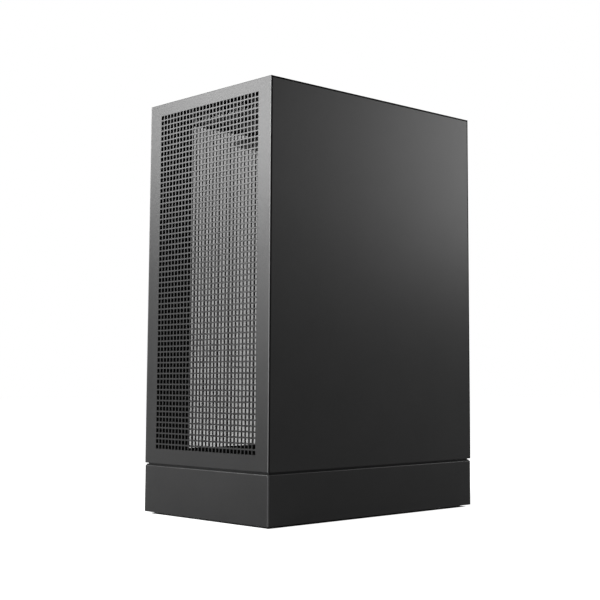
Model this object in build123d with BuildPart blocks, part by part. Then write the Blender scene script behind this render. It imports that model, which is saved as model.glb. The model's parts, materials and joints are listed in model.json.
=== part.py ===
"""Upright computer case for a mini-ITX board, standing on a hollow plinth.

The board and the graphics card stand back to back on a central tray with their ports facing down
into the plinth. Every outer panel comes off on four snap tabs. Millimetres; the origin is at the
bottom centre, +Z is up, the front face looks along -Y and the plain side panel is at +X.
"""

from build123d import *
import math
import os

os.makedirs("parts", exist_ok=True)

# Whole object
case_width = 187.0
case_depth = 274.0
case_height = 405.0

# Plinth and the dark gap above it
foot_height = 2.0
foot_diameter = 16.0
foot_inset = 25.0
plinth_height = 45.0
plinth_sheet = 1.0
plinth_corner = 1.5
plinth_edge_round = 0.9
plinth_top_lip = 12.0
plinth_base_lip = 14.0
foot_pad = 36.0
shadow_gap = 1.9
gap_recess = 1.4

# Outer panels
face_sheet = 1.2
side_sheet = 1.0
panel_joint = 0.2
face_edge_round = 0.5

# Perforated fields: plain borders, and the share of the sheet that is open
field_side_margin = 18.1
field_top_margin = 12.6
field_bottom_margin = 14.7
open_share = 0.51
field_pitch = 26.0
top_field_front = 44.0
top_field_rear = 20.0

# Snap tabs on the panels and their sockets in the chassis
seat_gap = 0.3
collar_thickness = 1.2
collar_size = 8.0
socket_size = 6.6
socket_depth = 6.0
socket_fit = 0.1
tab_head = 4.4
tab_stem = 2.6
tab_tip = 2.0
tab_stem_length = 2.2
tab_head_length = 1.6
tab_nose_length = 2.4
tab_clearance = 0.3
face_tab_inset = 10.9
side_tab_inset = 10.4
face_tab_from_bottom = 30.0
face_tab_from_top = 35.0
side_tab_from_bottom = 60.0
side_tab_from_top = 65.0
top_space = 4.9
top_tab_side_inset = 19.5
top_tab_end_inset = 12.0

# Chassis sheets
frame_sheet = 1.0
flange_depth = 9.0
face_flange_end = 21.0
frame_window_radius = 2.0
face_window_side = 16.5
face_window_low = 12.6
face_window_high = 4.5
side_window_front = 49.5
side_window_rear = 17.0
side_window_low = 13.1
side_window_high = 4.9

# Central tray and the board's fixings
card_bay_clearance = 0.96
tray_board_margin = 4.41
tray_rear_setback = 4.0
tray_foot_flange = 8.0
tray_head_flange = 12.0
tray_notch = 5.0
tray_flange_clearance = 1.0
fan_bay_clearance = 3.0
board_size = 170.18
board_edge_gap = 2.0
board_thickness = 1.6
board_hole_side = 6.35
board_hole_low = 10.16
board_hole_offset = 22.86
board_hole_high = 165.1
standoff_height = 6.5
standoff_flats = 5.0
standoff_bore = 2.5
cooler_window_width = 96.0
cooler_window_height = 84.0
cooler_window_low = 30.0
cable_window_width = 56.0
cable_window_height = 16.0
cable_window_gap = 3.0
cable_window_spread = 45.0
tray_window_radius = 8.0

# Port opening, card slots and mains inlet in the floor
port_opening_width = 44.45
port_opening_length = 158.75
port_opening_drop = 3.8
slot_count = 3
slot_pitch = 20.32
slot_window_width = 14.0
slot_window_length = 106.0
slot_riser_gap = 72.0
slot_cover_width = 18.4
slot_cover_sheet = 0.8
slot_tray_clearance = 0.5
slot_tab_height = 12.0
slot_shelf_setback = 7.0
slot_vent_count = 6
slot_vent_length = 10.0
slot_vent_width = 4.0
inlet_lip_clearance = 7.5
inlet_tray_gap = 6.0
inlet_body_width = 27.6
inlet_body_length = 20.0
inlet_body_height = 25.0
inlet_flange_width = 50.0
inlet_flange_length = 24.0
inlet_flange_thickness = 2.0
inlet_wall = 2.0
inlet_recess = 17.0
inlet_pin_setback = 3.5
inlet_pin_spread = 7.0
inlet_pin_offset = 2.0
inlet_pin_width = 2.0
inlet_pin_length = 4.0
inlet_clearance = 0.2

# Power supply bracket (SFX screw pattern)
supply_hole_x = 51.5
supply_hole_z = 113.0
supply_hole_diameter = 4.0
supply_window_x = 40.0
supply_window_z = 98.0
supply_gap_share = 0.25
supply_border = 7.0
supply_setback = 70.0
supply_flange = 20.0
supply_far_flange = 10.0

# Riser socket for the graphics card
riser_socket_length = 89.0
riser_socket_width = 7.5
riser_socket_height = 11.0
riser_slot_width = 1.8
riser_slot_depth = 8.0
riser_socket_low = 57.0
riser_socket_offset = 14.5
riser_board_width = 24.0
riser_board_border = 12.0
riser_setback = 30.0
riser_bracket_flange = 14.0

# Top fan
fan_size = 140.0
fan_thickness = 25.0
fan_centre_y = 15.5
fan_hole_inset = 7.75
fan_throat_wall = 3.5
fan_waist_wall = 1.0
fan_flange = 4.5
fan_corner = 8.0
fan_hub_diameter = 46.0
fan_strut_count = 4
fan_strut_angle = 45.0
fan_strut_width = 5.0
fan_strut_height = 4.0
fan_bearing_outer = 8.0
fan_shaft_diameter = 3.0
fan_shaft_fit = 0.05
rotor_cup_diameter = 43.0
rotor_cup_wall = 3.0
rotor_gap = 1.0
blade_count = 7
blade_tip_gap = 1.5
blade_thickness = 1.6
blade_root_angle = 48.0
blade_tip_angle = 26.0
blade_root_chord = 23.0
blade_tip_chord = 38.0

# Input and output module behind the top panel's front strip
module_setback = 24.0
module_width = 18.0
module_board_drop = 15.4
module_board_end = 4.0
module_ear = 8.0
port_recess = 0.4
cutout_clearance = 0.4
usb_a_width = 13.2
usb_a_height = 5.8
usb_a_wall = 0.5
usb_a_tongue = 1.8
usb_depth = 14.3
usb_c_width = 9.0
usb_c_height = 3.3
usb_c_wall = 0.4
usb_c_end_flat = 0.2
usb_c_tongue = 0.6
usb_c_tongue_gap = 1.0
audio_barrel = 6.0
audio_bore = 3.6
audio_base = 9.0
audio_barrel_height = 4.0
audio_bore_depth = 14.1
port_places = {"usb_a_left": -30.0, "usb_a_right": -8.0, "usb_c": 12.0, "audio": 28.0}
button_x = 46.0
button_cap_diameter = 12.0
button_cap_height = 3.8
button_stem_diameter = 6.0
button_travel = 1.5
button_recess = 0.2
button_chamfer = 0.4
guide_wall = 1.6
guide_clearance = 0.15
guide_stop_gap = 0.5
switch_width = 4.0
switch_height = 5.0
switch_gap = 0.2

# Plinth's cable exit and fasteners
cable_exit_width = 110.0
cable_exit_height = 30.0
cable_exit_radius = 6.0
screw_diameter = 3.0
screw_hole_diameter = 3.4
screw_head_flats = 5.5
screw_head_height = 2.0
screw_projection = 1.0
screw_sides = 12
plinth_screw_x = 45.0
plinth_screw_inset = 9.0
fan_screw_diameter = 4.0
fan_screw_length = 10.0
fan_screw_clearance = 0.1

# Levels and planes worked out from the sizes above
half_width = case_width / 2
half_depth = case_depth / 2
skirt_top = foot_height + plinth_height
floor_top = skirt_top + frame_sheet
body_bottom = skirt_top + shadow_gap
top_panel_bottom = case_height - face_sheet
plate_top = top_panel_bottom - top_space
plate_bottom = plate_top - frame_sheet
face_inner = half_depth - face_sheet
side_inner = half_width - side_sheet
frame_face = face_inner - seat_gap - collar_thickness
frame_inner = frame_face - frame_sheet
frame_half_width = side_inner - seat_gap - collar_thickness
side_half_depth = face_inner - panel_joint
side_panel_top = top_panel_bottom - panel_joint
face_field_width = case_width - 2 * field_side_margin
field_bottom = body_bottom + field_bottom_margin
field_top = case_height - field_top_margin
side_field_length = case_depth - 2 * field_side_margin
face_tab_levels = (body_bottom + face_tab_from_bottom, case_height - face_tab_from_top)
side_tab_levels = (body_bottom + side_tab_from_bottom, case_height - side_tab_from_top)
face_tab_x = half_width - face_tab_inset
side_tab_y = half_depth - side_tab_inset
top_tab_x = half_width - top_tab_side_inset
top_tab_y = half_depth - top_tab_end_inset
socket_hole = socket_size + 2 * socket_fit
socket_bore = tab_head + 2 * tab_clearance
fan_hole_spacing = fan_size - 2 * fan_hole_inset
fan_throat = fan_size - 2 * fan_throat_wall
fan_waist = fan_size - 2 * fan_waist_wall
fan_hole_radius = fan_screw_diameter / 2 + fan_screw_clearance
fan_top = plate_bottom
fan_bottom = fan_top - fan_thickness
slot_field_width = (slot_count - 1) * slot_pitch + slot_cover_width
card_bay_left = -(frame_half_width - frame_sheet - flange_depth - card_bay_clearance)
tray_left = card_bay_left + slot_field_width + slot_tray_clearance + tray_foot_flange
tray_right = tray_left + frame_sheet
tray_rear = half_depth - tray_rear_setback
tray_front = tray_rear - board_size - 2 * tray_board_margin
riser_face_y = tray_rear - riser_setback
supply_bracket_y = tray_rear - supply_setback
slot_window_centre_y = riser_face_y - slot_riser_gap
module_y = module_setback - half_depth
tray_step_y = fan_centre_y + fan_size / 2 + tray_notch
tray_top = fan_bottom - fan_bay_clearance
board_centre_y = (tray_front + tray_rear) / 2
board_low = floor_top + board_edge_gap
board_top_x = tray_right + standoff_height + board_thickness
port_opening_x = board_top_x - port_opening_drop + port_opening_width / 2
first_slot_x = tray_left - tray_foot_flange - slot_tray_clearance - slot_cover_width / 2
slot_places = [first_slot_x - number * slot_pitch for number in range(slot_count)]
slot_window_front = slot_window_centre_y - slot_window_length / 2
shelf_rear = slot_window_front - slot_shelf_setback
inlet_x = half_width - plinth_top_lip - inlet_lip_clearance - inlet_flange_width / 2
inlet_y = tray_front - inlet_tray_gap - inlet_flange_length / 2
module_board_top = plate_bottom - module_board_drop + 2 * frame_sheet
port_top = case_height - port_recess
button_top = case_height - button_recess


def finish(part, label):
    """Name one finished piece and write it as its own file."""
    part.label = label
    export_step(part, f"parts/{label}.step")


def hole_field(plane, centre, width, height):
    """Square holes that fill a field, as many as its size allows at about the field's pitch."""
    columns = max(1, round(width / field_pitch))
    rows = max(1, round(height / field_pitch))
    pitch_x = width / (columns - 1 + math.sqrt(open_share))
    pitch_y = height / (rows - 1 + math.sqrt(open_share))
    with BuildSketch(plane) as holes:
        with Locations(centre):
            with GridLocations(pitch_x, pitch_y, columns, rows):
                Rectangle(pitch_x * math.sqrt(open_share), pitch_y * math.sqrt(open_share))
    return holes.sketch


def outward_rim(part, axis):
    """The four long edges round the outer face of a flat sheet."""
    outer_face = part.faces().sort_by(axis)[-1]
    return outer_face.edges()


def face_panel(plane, outward):
    """Front or rear sheet, drawn on its inner face, with its perforated field."""
    height = case_height - body_bottom
    with BuildPart() as panel:
        with BuildSketch(plane):
            with Locations((0, body_bottom + height / 2)):
                Rectangle(case_width, height)
        extrude(amount=face_sheet)
        fillet(outward_rim(panel.part, outward), face_edge_round)
        field = (face_field_width, field_top - field_bottom)
        middle = (0, (field_top + field_bottom) / 2)
        extrude(hole_field(plane, middle, *field), amount=face_sheet, mode=Mode.SUBTRACT)
    return panel.part


front_inner_plane = Plane.XZ.offset(face_inner)
rear_inner_plane = Plane(origin=(0, face_inner, 0), x_dir=(-1, 0, 0), z_dir=(0, 1, 0))
side_inner_plane = Plane.YZ.offset(side_inner)
left_inner_plane = Plane(origin=(-side_inner, 0, 0), x_dir=(0, -1, 0), z_dir=(-1, 0, 0))
front_outward = Axis((0, 0, 0), (0, -1, 0))

finish(face_panel(front_inner_plane, front_outward), "front_mesh_panel")
finish(face_panel(rear_inner_plane, Axis.Y), "rear_mesh_panel")

# Side panels: flat sheets set between the front, rear and top ones
with BuildPart() as right_side_panel:
    side_height = side_panel_top - body_bottom
    with BuildSketch(side_inner_plane):
        with Locations((0, body_bottom + side_height / 2)):
            Rectangle(2 * side_half_depth, side_height)
    extrude(amount=side_sheet)
    fillet(outward_rim(right_side_panel.part, Axis.X), face_edge_round)
finish(right_side_panel.part, "right_side_panel")

with BuildPart() as left_mesh_panel:
    mirror(right_side_panel.part, about=Plane.YZ)
    side_middle = (0, (field_top + field_bottom) / 2)
    side_field = (side_field_length, field_top - field_bottom)
    side_holes = hole_field(left_inner_plane, side_middle, *side_field)
    extrude(side_holes, amount=side_sheet, mode=Mode.SUBTRACT)
finish(left_mesh_panel.part, "left_mesh_panel")

# Top panel: a perforated field, and a plain front strip with the ports' cut-outs
with BuildPart() as top_mesh_panel:
    top_plane = Plane.XY.offset(top_panel_bottom)
    with BuildSketch(top_plane):
        Rectangle(case_width, 2 * face_inner)
    extrude(amount=face_sheet)
    side_rims = top_mesh_panel.faces().sort_by(Axis.Z)[-1].edges().filter_by(Axis.Y)
    fillet(side_rims, face_edge_round)
    top_field_length = case_depth - top_field_front - top_field_rear
    top_middle = (0, (top_field_front - top_field_rear) / 2)
    top_holes = hole_field(top_plane, top_middle, face_field_width, top_field_length)
    extrude(top_holes, amount=face_sheet, mode=Mode.SUBTRACT)
    with BuildSketch(top_plane):
        for name in ("usb_a_left", "usb_a_right"):
            with Locations((port_places[name], module_y)):
                Rectangle(usb_a_width + 2 * cutout_clearance, usb_a_height + 2 * cutout_clearance)
        with Locations((port_places["usb_c"], module_y)):
            Rectangle(usb_c_width + 2 * cutout_clearance, usb_c_height + 2 * cutout_clearance)
        with Locations((port_places["audio"], module_y)):
            Circle(audio_barrel / 2 + cutout_clearance)
        with Locations((button_x, module_y)):
            Circle(button_cap_diameter / 2 + cutout_clearance)
    extrude(amount=face_sheet, mode=Mode.SUBTRACT)
finish(top_mesh_panel.part, "top_mesh_panel")


def seats_on_face(inward):
    """Planes on the front or rear panel's inner face, looking into the chassis."""
    planes = []
    for side in (-1, 1):
        for level in face_tab_levels:
            place = (side * face_tab_x, -inward * face_inner, level)
            planes.append(Plane(origin=place, x_dir=(1, 0, 0), z_dir=(0, inward, 0)))
    return planes


def seats_on_side(inward):
    """Planes on a side panel's inner face, looking into the chassis."""
    planes = []
    for end in (-1, 1):
        for level in side_tab_levels:
            place = (-inward * side_inner, end * side_tab_y, level)
            planes.append(Plane(origin=place, x_dir=(0, 1, 0), z_dir=(inward, 0, 0)))
    return planes


def seats_on_top():
    """Planes on the top panel's inner face, looking down."""
    planes = []
    for side in (-1, 1):
        for end in (-1, 1):
            place = (side * top_tab_x, end * top_tab_y, top_panel_bottom)
            planes.append(Plane(origin=place, x_dir=(1, 0, 0), z_dir=(0, 0, -1)))
    return planes


def snap_tabs(planes):
    """Square nylon tabs with a barbed head, one on each plane."""
    with BuildPart() as tabs:
        for plane in planes:
            with BuildSketch(plane):
                Rectangle(tab_stem, tab_stem)
            extrude(amount=tab_stem_length)
            with BuildSketch(plane.offset(tab_stem_length)):
                Rectangle(tab_head, tab_head)
            extrude(amount=tab_head_length)
            nose = plane.offset(tab_stem_length + tab_head_length)
            with BuildSketch(nose):
                Rectangle(tab_head, tab_head)
            with BuildSketch(nose.offset(tab_nose_length)):
                Rectangle(tab_tip, tab_tip)
            loft()
    return tabs.part


def snap_sockets(planes, sheet_distance):
    """Square sockets: a collar between the panel and the chassis sheet, and a body behind it."""
    with BuildPart() as sockets:
        for plane in planes:
            with BuildSketch(plane.offset(seat_gap)):
                Rectangle(collar_size, collar_size)
                Rectangle(socket_bore, socket_bore, mode=Mode.SUBTRACT)
            extrude(amount=sheet_distance - seat_gap)
            with BuildSketch(plane.offset(sheet_distance)):
                Rectangle(socket_size, socket_size)
                Rectangle(socket_bore, socket_bore, mode=Mode.SUBTRACT)
            extrude(amount=socket_depth)
    return sockets.part


seats = {
    "front": seats_on_face(1),
    "rear": seats_on_face(-1),
    "right": seats_on_side(-1),
    "left": seats_on_side(1),
    "top": seats_on_top(),
}
sheet_distances = {"top": top_space}
for side_name, planes in seats.items():
    distance = sheet_distances.get(side_name, seat_gap + collar_thickness)
    finish(snap_tabs(planes), f"{side_name}_panel_snap_tabs")
    finish(snap_sockets(planes, distance), f"{side_name}_snap_sockets")

# Chassis floor: the pan whose edge shows in the dark gap
screw_places = [
    (side * plinth_screw_x, end * (half_depth - plinth_screw_inset))
    for side in (-1, 1)
    for end in (-1, 1)
]
slot_field_x = (slot_places[0] + slot_places[-1]) / 2

with BuildPart() as floor_pan:
    with BuildSketch(Plane.XY.offset(skirt_top)):
        Rectangle(case_width - 2 * gap_recess, case_depth - 2 * gap_recess)
        with Locations((port_opening_x, board_centre_y)):
            Rectangle(port_opening_width, port_opening_length, mode=Mode.SUBTRACT)
        with Locations([(x, slot_window_centre_y) for x in slot_places]):
            Rectangle(slot_window_width, slot_window_length, mode=Mode.SUBTRACT)
        with Locations((slot_field_x, shelf_rear + slot_cover_sheet)):
            Rectangle(slot_field_width, 2 * slot_cover_sheet, mode=Mode.SUBTRACT)
        with Locations((inlet_x, inlet_y)):
            inlet_hole = 2 * inlet_clearance
            Rectangle(
                inlet_body_width + inlet_hole, inlet_body_length + inlet_hole, mode=Mode.SUBTRACT
            )
        with Locations(screw_places):
            RegularPolygon(screw_hole_diameter / 2, screw_sides, mode=Mode.SUBTRACT)
    extrude(amount=frame_sheet)
    # Shelf folded down in front of the slots, which the covers' tabs are screwed to
    shelf_plane = Plane.XZ.offset(-shelf_rear)
    shelf_middle = floor_top - slot_tab_height / 2
    with BuildSketch(shelf_plane):
        with Locations((slot_field_x, shelf_middle)):
            Rectangle(slot_field_width, slot_tab_height)
        with Locations([(x, shelf_middle) for x in slot_places]):
            RegularPolygon(screw_hole_diameter / 2, screw_sides, mode=Mode.SUBTRACT)
    extrude(amount=frame_sheet)
finish(floor_pan.part, "floor_pan")


face_socket_places = [(side * face_tab_x, level) for side in (-1, 1) for level in face_tab_levels]
side_socket_places = [(end * side_tab_y, level) for end in (-1, 1) for level in side_tab_levels]


def end_frame(plane):
    """Front or rear ring of the chassis, on its outer face, with flanges at its foot and head."""
    height = plate_top - floor_top
    window_low = floor_top + face_window_low
    window_high = plate_top - face_window_high
    flange_width = 2 * (frame_half_width - face_flange_end)
    with BuildPart() as frame:
        with BuildSketch(plane):
            with Locations((0, floor_top + height / 2)):
                Rectangle(2 * frame_half_width, height)
            with Locations((0, (window_low + window_high) / 2)):
                RectangleRounded(
                    case_width - 2 * face_window_side,
                    window_high - window_low,
                    frame_window_radius,
                    mode=Mode.SUBTRACT,
                )
            with Locations(face_socket_places):
                Rectangle(socket_hole, socket_hole, mode=Mode.SUBTRACT)
        extrude(amount=-frame_sheet)
        with BuildSketch(plane.offset(-frame_sheet)):
            with Locations((0, floor_top + frame_sheet / 2), (0, plate_bottom - frame_sheet / 2)):
                Rectangle(flange_width, frame_sheet)
        extrude(amount=-flange_depth)
        with BuildSketch(Plane.XY.offset(floor_top)):
            with Locations(screw_places):
                RegularPolygon(screw_hole_diameter / 2, screw_sides)
        extrude(amount=frame_sheet, mode=Mode.SUBTRACT)
    return frame.part


finish(end_frame(Plane.XZ.offset(frame_face)), "front_frame")
rear_frame_plane = Plane(origin=(0, frame_face, 0), x_dir=(-1, 0, 0), z_dir=(0, 1, 0))
finish(end_frame(rear_frame_plane), "rear_frame")

# Side frames: one wide window each, with flanges folded in on all four edges
with BuildPart() as right_side_frame:
    frame_plane = Plane.YZ.offset(frame_half_width)
    frame_height = plate_bottom - floor_top
    window_front = side_window_front - half_depth
    window_rear = half_depth - side_window_rear
    window_low = floor_top + side_window_low
    window_high = plate_bottom - side_window_high
    with BuildSketch(frame_plane):
        with Locations((0, floor_top + frame_height / 2)):
            Rectangle(2 * frame_inner, frame_height)
        with Locations(((window_front + window_rear) / 2, (window_low + window_high) / 2)):
            RectangleRounded(
                window_rear - window_front,
                window_high - window_low,
                frame_window_radius,
                mode=Mode.SUBTRACT,
            )
        with Locations(side_socket_places):
            Rectangle(socket_hole, socket_hole, mode=Mode.SUBTRACT)
    extrude(amount=-frame_sheet)
    corner_notch = flange_depth + frame_sheet
    with BuildSketch(frame_plane.offset(-frame_sheet)):
        with Locations((0, floor_top + frame_sheet / 2), (0, plate_bottom - frame_sheet / 2)):
            Rectangle(2 * (frame_inner - corner_notch), frame_sheet)
        for end in (-1, 1):
            with Locations((end * (frame_inner - frame_sheet / 2), floor_top + frame_height / 2)):
                Rectangle(frame_sheet, frame_height - 2 * corner_notch)
    extrude(amount=-flange_depth)
    # The end flanges are notched where the front and rear sockets pass through
    with BuildSketch(Plane.XZ.offset(frame_inner)):
        with Locations(face_socket_places):
            Rectangle(socket_hole, socket_hole)
    extrude(amount=-2 * frame_inner, mode=Mode.SUBTRACT)
finish(right_side_frame.part, "right_side_frame")

with BuildPart() as left_side_frame:
    mirror(right_side_frame.part, about=Plane.YZ)
finish(left_side_frame.part, "left_side_frame")

# Top plate, which carries the fan and the port module
module_left = port_places["usb_a_left"] - usb_a_width / 2 - module_board_end
module_right = button_x + button_cap_diameter / 2 + module_board_end
module_centre_x = (module_left + module_right) / 2
module_length = module_right - module_left

with BuildPart() as top_fan_plate:
    with BuildSketch(Plane.XY.offset(plate_bottom)):
        Rectangle(2 * frame_half_width, 2 * frame_inner)
        with Locations((0, fan_centre_y)):
            Circle(fan_throat / 2, mode=Mode.SUBTRACT)
            with GridLocations(fan_hole_spacing, fan_hole_spacing, 2, 2):
                RegularPolygon(fan_hole_radius, screw_sides, mode=Mode.SUBTRACT)
        with Locations((module_centre_x, module_y)):
            Rectangle(module_length, module_width, mode=Mode.SUBTRACT)
        with Locations([(side * top_tab_x, end * top_tab_y) for side in (-1, 1) for end in (-1, 1)]):
            Rectangle(socket_hole, socket_hole, mode=Mode.SUBTRACT)
    extrude(amount=frame_sheet)
finish(top_fan_plate.part, "top_fan_plate")

# Central tray: stepped round the fan, with a foot flange, a head flange and cable windows
foot_rear = frame_inner - flange_depth - tray_flange_clearance
with BuildPart() as centre_tray:
    with BuildSketch(Plane.YZ.offset(tray_left)):
        with BuildLine():
            Polyline(
                (tray_front, floor_top),
                (foot_rear, floor_top),
                (foot_rear, floor_top + tray_notch),
                (tray_rear, floor_top + tray_notch),
                (tray_rear, plate_bottom - tray_notch),
                (foot_rear, plate_bottom - tray_notch),
                (foot_rear, plate_bottom),
                (tray_step_y, plate_bottom),
                (tray_step_y, tray_top),
                (tray_front, tray_top),
                close=True,
            )
        make_face()
        with Locations((board_centre_y, board_low + cooler_window_low + cooler_window_height / 2)):
            RectangleRounded(
                cooler_window_width, cooler_window_height, tray_window_radius, mode=Mode.SUBTRACT
            )
        cable_level = board_low + board_size + cable_window_gap + cable_window_height / 2
        with Locations(
            (board_centre_y - cable_window_spread, cable_level),
            (board_centre_y + cable_window_spread, cable_level),
        ):
            RectangleRounded(
                cable_window_width, cable_window_height, tray_window_radius / 2, mode=Mode.SUBTRACT
            )
    extrude(amount=frame_sheet)
    with BuildSketch(Plane.XY.offset(floor_top)):
        with Locations((tray_left - tray_foot_flange / 2, (tray_front + foot_rear) / 2)):
            Rectangle(tray_foot_flange, foot_rear - tray_front)
    extrude(amount=frame_sheet)
    with BuildSketch(Plane.XY.offset(plate_bottom)):
        with Locations((tray_left - tray_head_flange / 2, (tray_step_y + foot_rear) / 2)):
            Rectangle(tray_head_flange, foot_rear - tray_step_y)
    extrude(amount=-frame_sheet)
finish(centre_tray.part, "centre_tray")

# Board standoffs: the four holes of a mini-ITX board, one of them set further from the port edge
side_step = board_size / 2 - board_hole_side
standoff_places = [
    (board_centre_y - side_step, board_low + board_hole_low),
    (board_centre_y + side_step, board_low + board_hole_low + board_hole_offset),
    (board_centre_y - side_step, board_low + board_hole_high),
    (board_centre_y + side_step, board_low + board_hole_high),
]
with BuildPart() as board_standoffs:
    with BuildSketch(Plane.YZ.offset(tray_right)):
        with Locations(standoff_places):
            RegularPolygon(standoff_flats / 2, 6, major_radius=False)
            Circle(standoff_bore / 2, mode=Mode.SUBTRACT)
    extrude(amount=standoff_height)
finish(board_standoffs.part, "board_standoffs")


def hex_screws(planes, length, diameter=screw_diameter):
    """Hexagon-headed screws, their shanks drawn with few sides, below the plane of the head."""
    with BuildPart() as screws:
        for plane in planes:
            with BuildSketch(plane):
                RegularPolygon(screw_head_flats / 2, 6, major_radius=False)
            extrude(amount=screw_head_height)
            with BuildSketch(plane):
                RegularPolygon(diameter / 2, screw_sides)
            extrude(amount=-length)
    return screws.part


# Power supply bracket: an angle on the tray, open round the supply's outlet face
supply_plate_width = supply_hole_x + 2 * supply_border
supply_spare = frame_half_width - frame_sheet - tray_right - supply_plate_width
supply_centre_x = tray_right + supply_spare * supply_gap_share + supply_plate_width / 2
supply_centre_z = tray_top - supply_border - supply_hole_z / 2
supply_right = supply_centre_x + supply_hole_x / 2 + supply_border
supply_low = supply_centre_z - supply_hole_z / 2 - supply_border
with BuildPart() as supply_bracket:
    supply_plane = Plane.XZ.offset(-supply_bracket_y)
    supply_width = supply_right - tray_right
    with BuildSketch(supply_plane):
        with Locations((tray_right + supply_width / 2, (supply_low + tray_top) / 2)):
            Rectangle(supply_width, tray_top - supply_low)
        with Locations((supply_centre_x, supply_centre_z)):
            RectangleRounded(
                supply_window_x, supply_window_z, tray_window_radius / 2, mode=Mode.SUBTRACT
            )
            with GridLocations(supply_hole_x, supply_hole_z, 2, 2):
                Circle(supply_hole_diameter / 2, mode=Mode.SUBTRACT)
    extrude(amount=-frame_sheet)
    with BuildSketch(supply_plane.offset(-frame_sheet)):
        with Locations((tray_right + frame_sheet / 2, (supply_low + tray_top) / 2)):
            Rectangle(frame_sheet, tray_top - supply_low)
    extrude(amount=-supply_flange)
    with BuildSketch(supply_plane.offset(-frame_sheet)):
        with Locations((supply_right - frame_sheet / 2, (supply_low + tray_top) / 2)):
            Rectangle(frame_sheet, tray_top - supply_low)
    extrude(amount=-supply_far_flange)
finish(supply_bracket.part, "supply_bracket")

# Riser: an upright card socket on a small board, held behind it by an angle on the tray
riser_x = tray_left - riser_socket_offset
riser_low = floor_top + riser_socket_low
riser_centre_z = riser_low + riser_socket_length / 2
riser_back_y = riser_face_y + riser_socket_height
with BuildPart() as riser_socket:
    with BuildSketch(Plane.XZ.offset(-riser_back_y)):
        with Locations((riser_x, riser_centre_z)):
            Rectangle(riser_socket_width, riser_socket_length)
    extrude(amount=riser_socket_height)
    with BuildSketch(Plane.XZ.offset(-riser_face_y)):
        with Locations((riser_x, riser_centre_z)):
            Rectangle(riser_slot_width, riser_socket_length - 2 * riser_slot_width)
    extrude(amount=-riser_slot_depth, mode=Mode.SUBTRACT)
finish(riser_socket.part, "riser_socket")

riser_board_length = riser_socket_length + 2 * riser_board_border
with BuildPart() as riser_board:
    with BuildSketch(Plane.XZ.offset(-riser_back_y)):
        with Locations((riser_x, riser_centre_z)):
            Rectangle(riser_board_width, riser_board_length)
    extrude(amount=-board_thickness)
finish(riser_board.part, "riser_board")

with BuildPart() as riser_bracket:
    bracket_y = riser_back_y + board_thickness
    bracket_left = riser_x - riser_board_width / 2
    with BuildSketch(Plane.XZ.offset(-bracket_y)):
        with Locations(((bracket_left + tray_left) / 2, riser_centre_z)):
            Rectangle(tray_left - bracket_left, riser_board_length)
    extrude(amount=-frame_sheet)
    with BuildSketch(Plane.XZ.offset(-bracket_y - frame_sheet)):
        with Locations((tray_left - frame_sheet / 2, riser_centre_z)):
            Rectangle(frame_sheet, riser_board_length)
    extrude(amount=-riser_bracket_flange)
finish(riser_bracket.part, "riser_bracket")

# Slot covers: a flat strip over each slot, with its front end folded down as a screw tab
cover_rear = slot_window_centre_y + slot_window_length / 2 + slot_shelf_setback
for number, slot_x in enumerate(slot_places, start=1):
    with BuildPart() as slot_cover:
        cover_length = cover_rear - shelf_rear
        with BuildSketch(Plane.XY.offset(floor_top)):
            with Locations((slot_x, shelf_rear + cover_length / 2)):
                Rectangle(slot_cover_width, cover_length)
            with Locations((slot_x, slot_window_centre_y)):
                vent_pitch = slot_window_length / slot_vent_count
                with GridLocations(1, vent_pitch, 1, slot_vent_count):
                    Rectangle(slot_vent_width, slot_vent_length, mode=Mode.SUBTRACT)
        extrude(amount=slot_cover_sheet)
        with BuildSketch(shelf_plane):
            with Locations((slot_x, shelf_middle)):
                Rectangle(slot_cover_width, slot_tab_height)
            with Locations((slot_x, shelf_middle)):
                RegularPolygon(screw_hole_diameter / 2, screw_sides, mode=Mode.SUBTRACT)
        extrude(amount=-slot_cover_sheet)
    finish(slot_cover.part, f"slot_cover_{number}")

slot_screw_seats = [
    Plane(origin=(x, shelf_rear + slot_cover_sheet, shelf_middle), z_dir=(0, 1, 0))
    for x in slot_places
]
slot_screw_length = slot_cover_sheet + frame_sheet + screw_projection
finish(hex_screws(slot_screw_seats, slot_screw_length), "slot_cover_screws")

# Mains inlet: snapped into the floor from below, its recess open to the plinth
with BuildPart() as power_inlet:
    inlet_low = skirt_top - inlet_flange_thickness
    recess_width = inlet_body_width - 2 * inlet_wall
    recess_length = inlet_body_length - 2 * inlet_wall
    with BuildSketch(Plane.XY.offset(inlet_low)):
        with Locations((inlet_x, inlet_y)):
            RectangleRounded(inlet_flange_width, inlet_flange_length, inlet_wall)
    extrude(amount=inlet_flange_thickness)
    with BuildSketch(Plane.XY.offset(inlet_low)):
        with Locations((inlet_x, inlet_y)):
            Rectangle(inlet_body_width, inlet_body_length)
    extrude(amount=inlet_body_height)
    with BuildSketch(Plane.XY.offset(inlet_low)):
        with Locations((inlet_x, inlet_y)):
            Rectangle(recess_width, recess_length)
    extrude(amount=inlet_recess, mode=Mode.SUBTRACT)
    with BuildSketch(Plane.XY.offset(inlet_low + inlet_pin_setback)):
        with Locations(
            (inlet_x - inlet_pin_spread, inlet_y - inlet_pin_offset),
            (inlet_x, inlet_y + inlet_pin_offset),
            (inlet_x + inlet_pin_spread, inlet_y - inlet_pin_offset),
        ):
            Rectangle(inlet_pin_width, inlet_pin_length)
    extrude(amount=inlet_recess - inlet_pin_setback)
finish(power_inlet.part, "power_inlet")

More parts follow.
